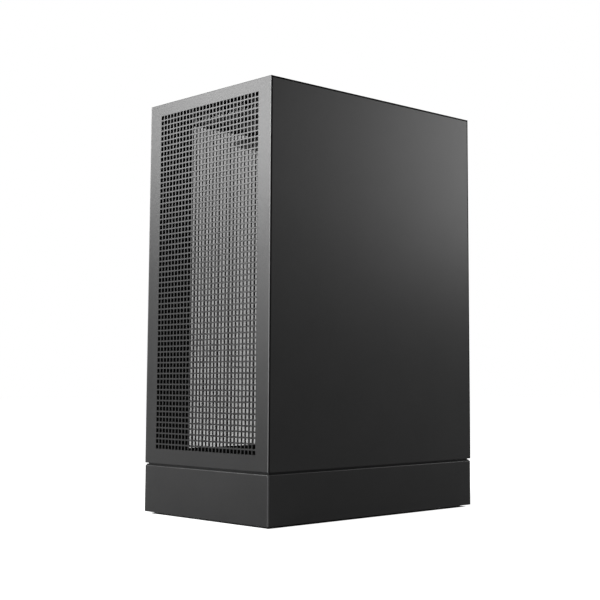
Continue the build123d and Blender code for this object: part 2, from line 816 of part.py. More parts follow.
# Top fan frame: two square flanges joined by a round waist, with a hub on four struts
with BuildPart() as fan_frame:
    fan_middle = (0, fan_centre_y)
    for level in (fan_bottom, fan_top - fan_flange):
        with BuildSketch(Plane.XY.offset(level)):
            with Locations(fan_middle):
                RectangleRounded(fan_size, fan_size, fan_corner)
        extrude(amount=fan_flange)
    with BuildSketch(Plane.XY.offset(fan_bottom)):
        with Locations(fan_middle):
            Circle(fan_waist / 2)
    extrude(amount=fan_thickness)
    with BuildSketch(Plane.XY.offset(fan_bottom)):
        with Locations(fan_middle):
            Circle(fan_throat / 2)
            with GridLocations(fan_hole_spacing, fan_hole_spacing, 2, 2):
                RegularPolygon(fan_hole_radius, screw_sides)
    extrude(amount=fan_thickness, mode=Mode.SUBTRACT)
    with BuildSketch(Plane.XY.offset(fan_top - fan_strut_height)):
        with Locations(fan_middle):
            Circle(fan_hub_diameter / 2)
            strut_start = fan_hub_diameter / 2 - fan_strut_width
            with PolarLocations(strut_start, fan_strut_count, start_angle=fan_strut_angle):
                strut_length = (fan_waist + fan_throat) / 4 - strut_start
                Rectangle(strut_length, fan_strut_width, align=(Align.MIN, Align.CENTER))
    extrude(amount=fan_strut_height)
    bearing_length = fan_thickness - fan_strut_height - rotor_cup_wall - 2 * rotor_gap
    with BuildSketch(Plane.XY.offset(fan_top - fan_strut_height)):
        with Locations(fan_middle):
            Circle(fan_bearing_outer / 2)
    extrude(amount=-bearing_length)
    with BuildSketch(Plane.XY.offset(fan_top - fan_strut_height - bearing_length)):
        with Locations(fan_middle):
            Circle(fan_shaft_diameter / 2 + fan_shaft_fit)
    extrude(amount=bearing_length, mode=Mode.SUBTRACT)
finish(fan_frame.part, "fan_frame")


def blade_section(radius, angle, chord):
    """A blade's thin section, upright on a plane across the radius and pitched by its angle."""
    middle = (radius, fan_centre_y, rotor_low + rotor_height / 2)
    plane = Plane(origin=middle, x_dir=(0, 1, 0), z_dir=(1, 0, 0))
    with BuildSketch(plane) as section:
        Rectangle(chord, blade_thickness, rotation=angle)
    return section.sketch


# Rotor: a cup that opens upward, its shaft, and twisted blades
rotor_low = fan_bottom + rotor_gap
rotor_height = fan_thickness - fan_strut_height - 2 * rotor_gap
rotor_axis = Axis((0, fan_centre_y, 0), (0, 0, 1))
blade_root = rotor_cup_diameter / 2 - rotor_cup_wall / 2
with BuildPart() as one_blade:
    root_section = blade_section(blade_root, blade_root_angle, blade_root_chord)
    tip_section = blade_section(fan_throat / 2, blade_tip_angle, blade_tip_chord)
    loft([root_section, tip_section], ruled=True)
    with BuildSketch(Plane.XY.offset(rotor_low)):
        with Locations((0, fan_centre_y)):
            Circle(fan_throat / 2 - blade_tip_gap)
    extrude(amount=rotor_height, mode=Mode.INTERSECT)
with BuildPart() as fan_rotor:
    for number in range(blade_count):
        add(one_blade.part.rotate(rotor_axis, number * 360 / blade_count))
    with BuildSketch(Plane.XY.offset(rotor_low)):
        with Locations((0, fan_centre_y)):
            Circle(rotor_cup_diameter / 2)
    extrude(amount=rotor_height)
    with BuildSketch(Plane.XY.offset(rotor_low + rotor_cup_wall)):
        with Locations((0, fan_centre_y)):
            Circle(rotor_cup_diameter / 2 - rotor_cup_wall)
            Circle(fan_shaft_diameter / 2, mode=Mode.SUBTRACT)
    extrude(amount=rotor_height, mode=Mode.SUBTRACT)
finish(fan_rotor.part, "fan_rotor")

fan_screw_seats = [
    Plane.XY.offset(plate_top).move(Location((x, fan_centre_y + y, 0)))
    for x in (-fan_hole_spacing / 2, fan_hole_spacing / 2)
    for y in (-fan_hole_spacing / 2, fan_hole_spacing / 2)
]
finish(hex_screws(fan_screw_seats, fan_screw_length, fan_screw_diameter), "fan_screws")

# Port module: a tray hung from the top plate, a board on it and the ports on the board
module_board_low = module_board_top - board_thickness
with BuildPart() as module_bracket:
    ear_top = plate_bottom
    leg_low = module_board_low - frame_sheet
    with BuildSketch(Plane.XY.offset(leg_low)):
        with Locations((module_centre_x, module_y)):
            Rectangle(module_length + 2 * frame_sheet, module_width)
    extrude(amount=frame_sheet)
    for side in (-1, 1):
        leg_x = module_centre_x + side * (module_length + frame_sheet) / 2
        with BuildSketch(Plane.XY.offset(leg_low)):
            with Locations((leg_x, module_y)):
                Rectangle(frame_sheet, module_width)
        extrude(amount=ear_top - leg_low)
        ear_x = leg_x + side * (module_ear / 2)
        with BuildSketch(Plane.XY.offset(ear_top - frame_sheet)):
            with Locations((ear_x, module_y)):
                Rectangle(module_ear, module_width)
        extrude(amount=frame_sheet)
finish(module_bracket.part, "module_bracket")

with BuildPart() as module_board:
    with BuildSketch(Plane.XY.offset(module_board_low)):
        with Locations((module_centre_x, module_y)):
            Rectangle(module_length, module_width)
    extrude(amount=board_thickness)
finish(module_board.part, "module_board")

for port_name in ("usb_a_left", "usb_a_right"):
    with BuildPart() as usb_a_port:
        with BuildSketch(Plane.XY.offset(module_board_top)):
            with Locations((port_places[port_name], module_y)):
                Rectangle(usb_a_width, usb_a_height)
        extrude(amount=port_top - module_board_top)
        with BuildSketch(Plane.XY.offset(port_top)):
            with Locations((port_places[port_name], module_y)):
                Rectangle(usb_a_width - 2 * usb_a_wall, usb_a_height - 2 * usb_a_wall)
            with Locations((port_places[port_name], module_y + usb_a_height / 2 - usb_a_wall)):
                tongue_width = usb_a_width - 4 * usb_a_wall
                Rectangle(
                    tongue_width,
                    usb_a_tongue,
                    align=(Align.CENTER, Align.MAX),
                    mode=Mode.SUBTRACT,
                )
        extrude(amount=-usb_depth, mode=Mode.SUBTRACT)
    finish(usb_a_port.part, f"{port_name}_port")

with BuildPart() as usb_c_port:
    with BuildSketch(Plane.XY.offset(module_board_top)):
        with Locations((port_places["usb_c"], module_y)):
            RectangleRounded(usb_c_width, usb_c_height, (usb_c_height - usb_c_end_flat) / 2)
    extrude(amount=port_top - module_board_top)
    with BuildSketch(Plane.XY.offset(port_top)):
        with Locations((port_places["usb_c"], module_y)):
            slot_width = usb_c_width - 2 * usb_c_wall
            slot_height = usb_c_height - 2 * usb_c_wall
            Rectangle(slot_width, slot_height)
            Rectangle(slot_width - 2 * usb_c_tongue_gap, usb_c_tongue, mode=Mode.SUBTRACT)
    extrude(amount=-usb_depth, mode=Mode.SUBTRACT)
finish(usb_c_port.part, "usb_c_port")

with BuildPart() as audio_jack:
    barrel_low = port_top - audio_barrel_height
    with BuildSketch(Plane.XY.offset(module_board_top)):
        with Locations((port_places["audio"], module_y)):
            Rectangle(audio_base, audio_base)
    extrude(amount=barrel_low - module_board_top)
    with BuildSketch(Plane.XY.offset(barrel_low)):
        with Locations((port_places["audio"], module_y)):
            Circle(audio_barrel / 2)
    extrude(amount=audio_barrel_height)
    with BuildSketch(Plane.XY.offset(port_top)):
        with Locations((port_places["audio"], module_y)):
            Circle(audio_bore / 2)
    extrude(amount=-audio_bore_depth, mode=Mode.SUBTRACT)
finish(audio_jack.part, "audio_jack")

# Power button: a round cap whose stem runs in a guide and stops above the switch
cap_low = button_top - button_cap_height
guide_top = cap_low - button_travel - guide_stop_gap
stem_low = module_board_top + switch_height + switch_gap + button_travel
with BuildPart() as power_button:
    with BuildSketch(Plane.XY.offset(cap_low)):
        with Locations((button_x, module_y)):
            Circle(button_cap_diameter / 2)
    extrude(amount=button_cap_height)
    chamfer(power_button.faces().sort_by(Axis.Z)[-1].edges(), button_chamfer)
    with BuildSketch(Plane.XY.offset(stem_low)):
        with Locations((button_x, module_y)):
            Circle(button_stem_diameter / 2)
    extrude(amount=cap_low - stem_low)
finish(power_button.part, "power_button")

guide_bore = button_stem_diameter / 2 + guide_clearance
with BuildPart() as button_guide:
    with BuildSketch(Plane.XY.offset(module_board_top)):
        with Locations((button_x, module_y)):
            Circle(guide_bore + guide_wall)
            Circle(guide_bore, mode=Mode.SUBTRACT)
    extrude(amount=guide_top - module_board_top)
finish(button_guide.part, "button_guide")

with BuildPart() as power_switch:
    with BuildSketch(Plane.XY.offset(module_board_top)):
        with Locations((button_x, module_y)):
            Rectangle(switch_width, switch_width)
    extrude(amount=switch_height)
finish(power_switch.part, "power_switch")

# Plinth: one folded skirt with a lip above and a wider lip below, and the rear cable exit
with BuildPart() as plinth_skirt:
    with BuildSketch(Plane.XY.offset(foot_height)):
        RectangleRounded(case_width, case_depth, plinth_corner)
    extrude(amount=plinth_height)
    fillet(plinth_skirt.faces().sort_by(Axis.Z)[-1].edges(), plinth_edge_round)
    with BuildSketch(Plane.XY.offset(foot_height + plinth_sheet)):
        RectangleRounded(
            case_width - 2 * plinth_sheet, case_depth - 2 * plinth_sheet, plinth_corner / 3
        )
    extrude(amount=plinth_height - 2 * plinth_sheet, mode=Mode.SUBTRACT)
    with BuildSketch(Plane.XY.offset(skirt_top)):
        Rectangle(case_width - 2 * plinth_top_lip, case_depth - 2 * plinth_top_lip)
    extrude(amount=-plinth_sheet, mode=Mode.SUBTRACT)
    # The base opening leaves a wide pad at each corner for its foot
    with BuildSketch(Plane.XY.offset(foot_height)):
        Rectangle(case_width - 2 * plinth_base_lip, case_depth - 2 * foot_pad)
        Rectangle(case_width - 2 * foot_pad, case_depth - 2 * plinth_base_lip)
    extrude(amount=plinth_sheet, mode=Mode.SUBTRACT)
    with BuildSketch(Plane.XZ.offset(-half_depth)):
        with Locations((0, foot_height + plinth_height / 2)):
            RectangleRounded(cable_exit_width, cable_exit_height, cable_exit_radius)
    extrude(amount=plinth_sheet, mode=Mode.SUBTRACT)
    with BuildSketch(Plane.XY.offset(skirt_top)):
        with Locations(screw_places):
            RegularPolygon(screw_hole_diameter / 2, screw_sides)
    extrude(amount=-plinth_sheet, mode=Mode.SUBTRACT)
finish(plinth_skirt.part, "plinth_skirt")

plinth_screw_seats = [
    Plane(origin=(x, y, skirt_top - plinth_sheet), z_dir=(0, 0, -1)) for x, y in screw_places
]
plinth_screw_length = plinth_sheet + 2 * frame_sheet + screw_projection
finish(hex_screws(plinth_screw_seats, plinth_screw_length), "plinth_screws")

with BuildPart() as rubber_feet:
    with BuildSketch(Plane.XY):
        with GridLocations(case_width - 2 * foot_inset, case_depth - 2 * foot_inset, 2, 2):
            Circle(foot_diameter / 2)
    extrude(amount=foot_height)
finish(rubber_feet.part, "rubber_feet")
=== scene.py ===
"""Looks of the upright computer case: perforated sheets, materials, light and camera.

Everything is in metres in the row frame: the origin is at the bottom centre, +Z is up and the
front face looks along -Y.
"""

import json
import math

import bpy
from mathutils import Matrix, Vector
from mathutils.geometry import delaunay_2d_cdt


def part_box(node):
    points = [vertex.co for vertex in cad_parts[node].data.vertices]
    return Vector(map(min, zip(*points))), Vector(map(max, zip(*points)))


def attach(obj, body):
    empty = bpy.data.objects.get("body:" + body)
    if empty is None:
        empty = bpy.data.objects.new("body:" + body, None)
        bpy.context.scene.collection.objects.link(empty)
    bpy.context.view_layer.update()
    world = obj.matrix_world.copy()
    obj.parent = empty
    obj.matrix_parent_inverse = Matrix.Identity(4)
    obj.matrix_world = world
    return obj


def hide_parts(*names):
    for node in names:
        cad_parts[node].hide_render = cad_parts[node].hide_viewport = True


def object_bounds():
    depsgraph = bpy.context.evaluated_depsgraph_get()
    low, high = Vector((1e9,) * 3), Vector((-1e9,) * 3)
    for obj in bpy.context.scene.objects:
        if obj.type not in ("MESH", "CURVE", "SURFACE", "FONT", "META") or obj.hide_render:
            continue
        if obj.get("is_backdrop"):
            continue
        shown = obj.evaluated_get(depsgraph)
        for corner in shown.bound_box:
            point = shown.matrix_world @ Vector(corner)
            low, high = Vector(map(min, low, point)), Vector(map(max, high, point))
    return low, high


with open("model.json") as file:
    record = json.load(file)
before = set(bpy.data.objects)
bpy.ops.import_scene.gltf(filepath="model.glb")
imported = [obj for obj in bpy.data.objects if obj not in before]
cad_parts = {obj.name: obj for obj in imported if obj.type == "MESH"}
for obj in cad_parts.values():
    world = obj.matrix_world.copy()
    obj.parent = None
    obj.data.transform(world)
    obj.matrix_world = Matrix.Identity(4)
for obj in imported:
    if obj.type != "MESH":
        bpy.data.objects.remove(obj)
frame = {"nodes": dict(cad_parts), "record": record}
nodes = frame["nodes"]
cad_low, cad_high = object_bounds()

MM = 0.001

# The punched sheets: square holes, and a rim that is rounded in steps, near-black from one step
# on as painted shade of the gaps between the panels
HOLE = 3.75 * MM
PITCH = 5.25 * MM
HOLE_CHAMFER = 0.2 * MM
RIM_RADIUS = 0.5 * MM
RIM_STEPS = 4
FIRST_SHADED_STEP = 3
HOLES_ACROSS, HOLES_UP, HOLES_DEEP = 29, 63, 40
FACE_MIDDLE = 228.0 * MM
TOP_MIDDLE = 12.0 * MM
# Which rims are rounded: low v, high u, high v, low u
EVERY_RIM = (1, 1, 1, 1)
SIDE_RIMS = (0, 1, 0, 1)

# The fine screen of crossed bars in the left panel's one wide window
SCREEN_PITCH = 1.0 * MM
SCREEN_BAR = 0.34 * MM
SCREEN_DEPTHS = (0.30 * MM, 0.49 * MM)
BAR_STAGGER = 0.02 * MM
WINDOW_HALF = 118.9 * MM
WINDOW_LOW, WINDOW_HIGH = 61.2 * MM, 392.9 * MM
BOX_FACES = ((0, 2, 3, 1), (4, 5, 7, 6), (0, 1, 5, 4), (2, 6, 7, 3), (0, 4, 6, 2), (1, 3, 7, 5))

# Cut-outs in the top sheet, over the ports and the button, with the gap round each
PORT_Y = -113.0 * MM
PORT_FIT = 0.4 * MM
# centre across, width, height, corner radius
PORT_SLOTS = [
    (-30 * MM, 13.2 * MM, 5.8 * MM, 0.9 * MM),
    (-8 * MM, 13.2 * MM, 5.8 * MM, 0.9 * MM),
    (12 * MM, 9.0 * MM, 3.3 * MM, 1.9 * MM),
]
# centre across, radius, sides
ROUND_CUTS = [(28 * MM, 3.0 * MM, 36), (46 * MM, 6.0 * MM, 56)]
SLOT_CORNER_STEPS = 5
SHARPEST_CORNER = 0.5
KEEP_INSIDE = 1
CDT_TOLERANCE = 1e-9

# The values that a noise mostly stays between
NOISE_LOW, NOISE_HIGH = 0.3, 0.7
# Scale, detail and, where it isn't the usual one, roughness of each noise
COAT_FLOW = (260.0, 2.0)
COAT_PEBBLE = (2600.0, 2.0, 0.6)
COAT_CLOUD = (22.0, 4.0)
PLASTIC_CLOUD = (45.0, 3.0)
METAL_WEAR = (900.0, 5.0, 0.65)
METAL_CLOUD = (90.0, 3.0)
# Detail and roughness of the plastics' grain, whose scale is each plastic's own
PLASTIC_GRAIN = (3.0, 0.55)
# Depth of each bump in metres
FLOW_DEPTH, PEBBLE_DEPTH, GRAIN_DEPTH, WEAR_DEPTH = 0.00006, 0.00003, 0.00004, 0.00002
FLOW_STRENGTH, PEBBLE_STRENGTH = 0.25, 0.5
# How far roughness goes below and above its middle
PLASTIC_SPREAD = (0.06, 0.08)
METAL_SPREAD = (0.07, 0.1)
# A painted highlight along the upright corners, a lighter coat that stands in for light caught
# on their rounded edges: its full width, and the part that is at full strength
HIGHLIGHT_WIDTH = 1.5 * MM
HIGHLIGHT_CORE = 0.7 * MM
# Height in metres of the ports' mouths, and how far below it the plating fades out
PORT_MOUTH = 0.4005
MOUTH_FADE = 0.0001
# Below the mouths the shells are painted black as the shade inside the case; above, plated
SHELL_SHADE_BLACK, SHELL_PLATE = (0.016, 0.016, 0.017), (0.58, 0.58, 0.59)
# Sockets of a Mix node that blends colours
MIX_FACTOR, MIX_FIRST, MIX_SECOND, MIX_RESULT = 0, 6, 7, 2

WHITE = (1, 1, 1, 1)
AMBIENT = 0.12
FLOOR_HALF = 6.0
FLOOR_GREY = (0.5, 0.5, 0.5, 1)
# The floor under the case, which doesn't glow: a painted shadow, darker than the glowing floor
# round it
SHADE_X, SHADE_Y = 90.0 * MM, 133.5 * MM
# The floor's glow in mirrors and glass, and to the camera
GLOW_MIRRORED, GLOW_SEEN = 0.65, 0.945

LAMP_DISTANCE = 1.9
LAMP_WIDTH, LAMP_HEIGHT = 0.9, 0.6
LAMP_TARGET = Vector((0.0, 0.0, 0.25))
# name, direction round the object and height angle in degrees, watts
LAMPS = [
    ("front_key", 232, 20, 29.0),
    ("front_left", 226, 17, 18.0),
    ("front_low", 238, 6, 22.0),
    ("rear_key", 60, 14, 15.5),
    ("rear_right", 42, 18, 2.5),
]

# The camera looks to -X and +Y alike, slightly upwards
CAMERA_PLACE = (0.9114, -0.8319, 0.1308)
PITCH_UP = math.radians(5.806)
LENS, SENSOR = 72.33, 36.0
SHIFT_X, SHIFT_Y = -0.1125, -0.0727
CLIP_START, CLIP_END = 0.05, 50.0


def add_object(name, data):
    thing = bpy.data.objects.new(name, data)
    bpy.context.scene.collection.objects.link(thing)
    return thing


def new_material(name):
    """A node material, its tree and its Principled shader."""
    material = bpy.data.materials.new(name)
    material.use_nodes = True
    shader = material.node_tree.nodes["Principled BSDF"]
    return material, material.node_tree, shader


def noise(tree, coordinates, scale, detail, roughness=0.5):
    node = tree.nodes.new("ShaderNodeTexNoise")
    node.inputs["Scale"].default_value = scale
    node.inputs["Detail"].default_value = detail
    node.inputs["Roughness"].default_value = roughness
    tree.links.new(coordinates, node.inputs["Vector"])
    return node.outputs["Fac"]


def remap(tree, value, low, high, from_low=NOISE_LOW, from_high=NOISE_HIGH):
    node = tree.nodes.new("ShaderNodeMapRange")
    node.inputs["From Min"].default_value = from_low
    node.inputs["From Max"].default_value = from_high
    node.inputs["To Min"].default_value = low
    node.inputs["To Max"].default_value = high
    tree.links.new(value, node.inputs["Value"])
    return node.outputs["Result"]


def combine(tree, operation, first, second=None):
    """A Math node on one or two values."""
    node = tree.nodes.new("ShaderNodeMath")
    node.operation = operation
    tree.links.new(first, node.inputs[0])
    if second is not None:
        tree.links.new(second, node.inputs[1])
    return node.outputs[0]


def tint(tree, value, first, second):
    """Goes from a first colour, which may be a socket, to a second as the value goes to 1."""
    node = tree.nodes.new("ShaderNodeMix")
    node.data_type = "RGBA"
    if isinstance(first, tuple):
        node.inputs[MIX_FIRST].default_value = (*first, 1.0)
    else:
        tree.links.new(first, node.inputs[MIX_FIRST])
    node.inputs[MIX_SECOND].default_value = (*second, 1.0)
    tree.links.new(value, node.inputs[MIX_FACTOR])
    return node.outputs[MIX_RESULT]


def bump(tree, height, distance, strength, under=None):
    node = tree.nodes.new("ShaderNodeBump")
    node.inputs["Distance"].default_value = distance
    node.inputs["Strength"].default_value = strength
    tree.links.new(height, node.inputs["Height"])
    if under is not None:
        tree.links.new(under, node.inputs["Normal"])
    return node.outputs["Normal"]


def object_coordinates(tree):
    return tree.nodes.new("ShaderNodeTexCoord").outputs["Object"]


def split(tree, place):
    """The X, Y and Z outputs of a place."""
    node = tree.nodes.new("ShaderNodeSeparateXYZ")
    tree.links.new(place, node.inputs[0])
    return node.outputs


def painted_corner_highlight(tree, place):
    """1 along the case's upright outer corners, where a lighter coat paints the highlight of
    their rounded edges.
    """
    parts = split(tree, place)
    near = []
    for axis, reach in (("X", cad_high.x), ("Y", cad_high.y)):
        distance = combine(tree, "ABSOLUTE", parts[axis])
        near.append(remap(tree, distance, 0.0, 1.0, reach - HIGHLIGHT_WIDTH, reach - HIGHLIGHT_CORE))
    return combine(tree, "MULTIPLY", near[0], near[1])


def feed(tree, shader, colour, roughness, normal):
    """Links the three inputs that vary over a surface."""
    tree.links.new(colour, shader.inputs["Base Color"])
    tree.links.new(roughness, shader.inputs["Roughness"])
    tree.links.new(normal, shader.inputs["Normal"])


def powder_coat(name, dark, light, rough_low, rough_high, specular, grain=1.0, corner_highlight=None):
    """Satin powder coat: a fine pebble grain over a slow flow, with a little mottling, and a
    painted highlight along the upright corners where one is given.
    """
    material, tree, shader = new_material(name)
    place = object_coordinates(tree)
    flow = noise(tree, place, *COAT_FLOW)
    pebble = noise(tree, place, *COAT_PEBBLE)
    cloud = noise(tree, place, *COAT_CLOUD)
    colour = tint(tree, remap(tree, cloud, 0.0, 1.0), dark, light)
    # A lighter colour along the upright corners: a painted highlight of their rounded edges
    if corner_highlight is not None:
        colour = tint(tree, painted_corner_highlight(tree, place), colour, corner_highlight)
    slow = bump(tree, flow, FLOW_DEPTH, FLOW_STRENGTH * grain)
    fine = bump(tree, pebble, PEBBLE_DEPTH, PEBBLE_STRENGTH * grain, slow)
    feed(tree, shader, colour, remap(tree, pebble, rough_low, rough_high), fine)
    shader.inputs["Specular IOR Level"].default_value = specular
    return material


def plastic(name, dark, light, roughness, specular=0.4, grain_scale=1800.0, strength=0.25):
    """Moulded plastic or rubber with a spark-eroded grain."""
    material, tree, shader = new_material(name)
    place = object_coordinates(tree)
    grain = noise(tree, place, grain_scale, *PLASTIC_GRAIN)
    cloud = noise(tree, place, *PLASTIC_CLOUD)
    colour = tint(tree, remap(tree, cloud, 0.0, 1.0), dark, light)
    below, above = PLASTIC_SPREAD
    rough = remap(tree, grain, roughness - below, roughness + above)
    feed(tree, shader, colour, rough, bump(tree, grain, GRAIN_DEPTH, strength))
    shader.inputs["Specular IOR Level"].default_value = specular
    return material


def metal(name, dark, light, roughness, strength=0.12):
    """Plated or rolled metal with fine wear."""
    material, tree, shader = new_material(name)
    place = object_coordinates(tree)
    wear = noise(tree, place, *METAL_WEAR)
    cloud = noise(tree, place, *METAL_CLOUD)
    colour = tint(tree, remap(tree, cloud, 0.0, 1.0), dark, light)
    below, above = METAL_SPREAD
    rough = remap(tree, wear, roughness - below, roughness + above)
    feed(tree, shader, colour, rough, bump(tree, wear, WEAR_DEPTH, strength))
    shader.inputs["Metallic"].default_value = 1.0
    return material


def port_shell(name, rough_low, rough_high, strength):
    """A plated shell at the ports' mouths, black and not metal below them as painted shade
    inside the case, which hides the shells' reflections.
    """
    material, tree, shader = new_material(name)
    place = object_coordinates(tree)
    mouth = remap(tree, split(tree, place)["Z"], 0.0, 1.0, PORT_MOUTH - MOUTH_FADE, PORT_MOUTH)
    wear = noise(tree, place, *METAL_WEAR)
    colour = tint(tree, mouth, SHELL_SHADE_BLACK, SHELL_PLATE)
    rough = remap(tree, wear, rough_low, rough_high)
    feed(tree, shader, colour, rough, bump(tree, wear, WEAR_DEPTH, strength))
    tree.links.new(mouth, shader.inputs["Metallic"])
    return material


SLOTS = {
    "outer_steel": powder_coat(
        "outer_powder_coat", (0.011, 0.011, 0.0112), (0.014, 0.014, 0.0142), 0.25, 0.35, 0.12,
        # The lighter corners are a painted highlight of the rounded edges
        corner_highlight=(0.11, 0.11, 0.112),
    ),
    "chassis_steel": powder_coat(
        "chassis_powder_coat", (0.013, 0.013, 0.0132), (0.017, 0.017, 0.0172), 0.38, 0.48, 0.15
    ),
    "black_nylon": plastic("black_nylon", (0.018, 0.018, 0.019), (0.024, 0.024, 0.025), 0.48),
    "fan_plastic": plastic("fan_plastic", (0.020, 0.020, 0.021), (0.028, 0.028, 0.029), 0.40),
    "black_screws": metal("black_zinc_screws", (0.035, 0.035, 0.037), (0.06, 0.06, 0.062), 0.34),
    "brass_standoffs": metal("brass_standoffs", (0.55, 0.38, 0.13), (0.70, 0.50, 0.20), 0.30),
    "circuit_board": plastic(
        "circuit_board", (0.006, 0.010, 0.008), (0.012, 0.018, 0.014), 0.35, 0.5, 700.0, 0.15
    ),
    "port_metal": port_shell("port_metal", 0.22, 0.38, 0.15),
    "button_metal": metal("button_metal", (0.10, 0.10, 0.105), (0.14, 0.14, 0.145), 0.32),
    "foot_rubber": plastic(
        "foot_rubber", (0.014, 0.014, 0.014), (0.022, 0.022, 0.022), 0.75, 0.3, 1200.0, 0.4
    ),
}
# A darker coat for the floor pan: painted shade in the gap above the plinth, where its edge
# shows
floor_pan_shade_coat = powder_coat(
    "floor_pan_painted_shade", (0.006, 0.006, 0.0062), (0.008, 0.008, 0.0082), 0.50, 0.60, 0.05
)
# Near-black coat on the sheets' edges: painted shade of the gaps between the panels
sheet_edge_shade_coat = powder_coat(
    "sheet_edge_painted_shade", (0.0022, 0.0022, 0.0023), (0.003, 0.003, 0.0031), 0.55, 0.65, 0.02, 0.5
)

for entry in frame["record"]["subparts"]:
    node = entry["node"]
    materials = nodes[node].data.materials
    materials.clear()
    materials.append(floor_pan_shade_coat if node == "floor_pan" else SLOTS[entry["material_slot"]])


def hole_edges(count, centre):
    """Low and high edges of a row of holes about a centre."""
    first = centre - (count - 1) * PITCH / 2
    return [(first + i * PITCH - HOLE / 2, first + i * PITCH + HOLE / 2) for i in range(count)]


def grid_lines(low, high, edges, chamfer):
    """The sheet's own two edges, with the chamfered edges of its holes between them."""
    found = [low]
    for a, b in edges:
        found += [a - chamfer, b + chamfer]
    return found + [high]


def bar_centres(low, high):
    """Centres of the bars between two edges, at about the screen's pitch."""
    cells = round((high - low) / SCREEN_PITCH)
    return [low + (high - low) * k / cells for k in range(1, cells)]


def circle_loop(cu, cv, radius, sides):
    turns = [2 * math.pi * i / sides for i in range(sides)]
    return [(cu + radius * math.cos(a), cv + radius * math.sin(a)) for a in turns]


def slot_loop(cu, cv, width, height, radius):
    loop = []
    for su, sv, start in ((1, 1, 0), (-1, 1, 90), (-1, -1, 180), (1, -1, 270)):
        middle_u = cu + su * (width / 2 - radius)
        middle_v = cv + sv * (height / 2 - radius)
        for i in range(SLOT_CORNER_STEPS + 1):
            a = math.radians(start + 90 * i / SLOT_CORNER_STEPS)
            loop.append((middle_u + radius * math.cos(a), middle_v + radius * math.sin(a)))
    return loop


def widen(loop, amount):
    """A loop moved outwards by an amount along its corner normals."""
    moved = []
    for i in range(len(loop)):
        (px, py), (qx, qy), (rx, ry) = loop[i - 1], loop[i], loop[(i + 1) % len(loop)]
        a = Vector((qx - px, qy - py)).normalized()
        b = Vector((rx - qx, ry - qy)).normalized()
        inward = Vector((-(a.y + b.y), a.x + b.x))
        inward = inward.normalized() / max(SHARPEST_CORNER, (1 + a.dot(b)) / 2) ** 0.5
        moved.append((qx - inward.x * amount, qy - inward.y * amount))
    return moved


def inside(point, loop):
    """Whether a point lies in a closed loop."""
    hit = False
    for k in range(len(loop)):
        (x0, y0), (x1, y1) = loop[k - 1], loop[k]
        if (y0 > point.y) != (y1 > point.y):
            if point.x < (x1 - x0) * (point.y - y0) / (y1 - y0) + x0:
                hit = not hit
    return hit


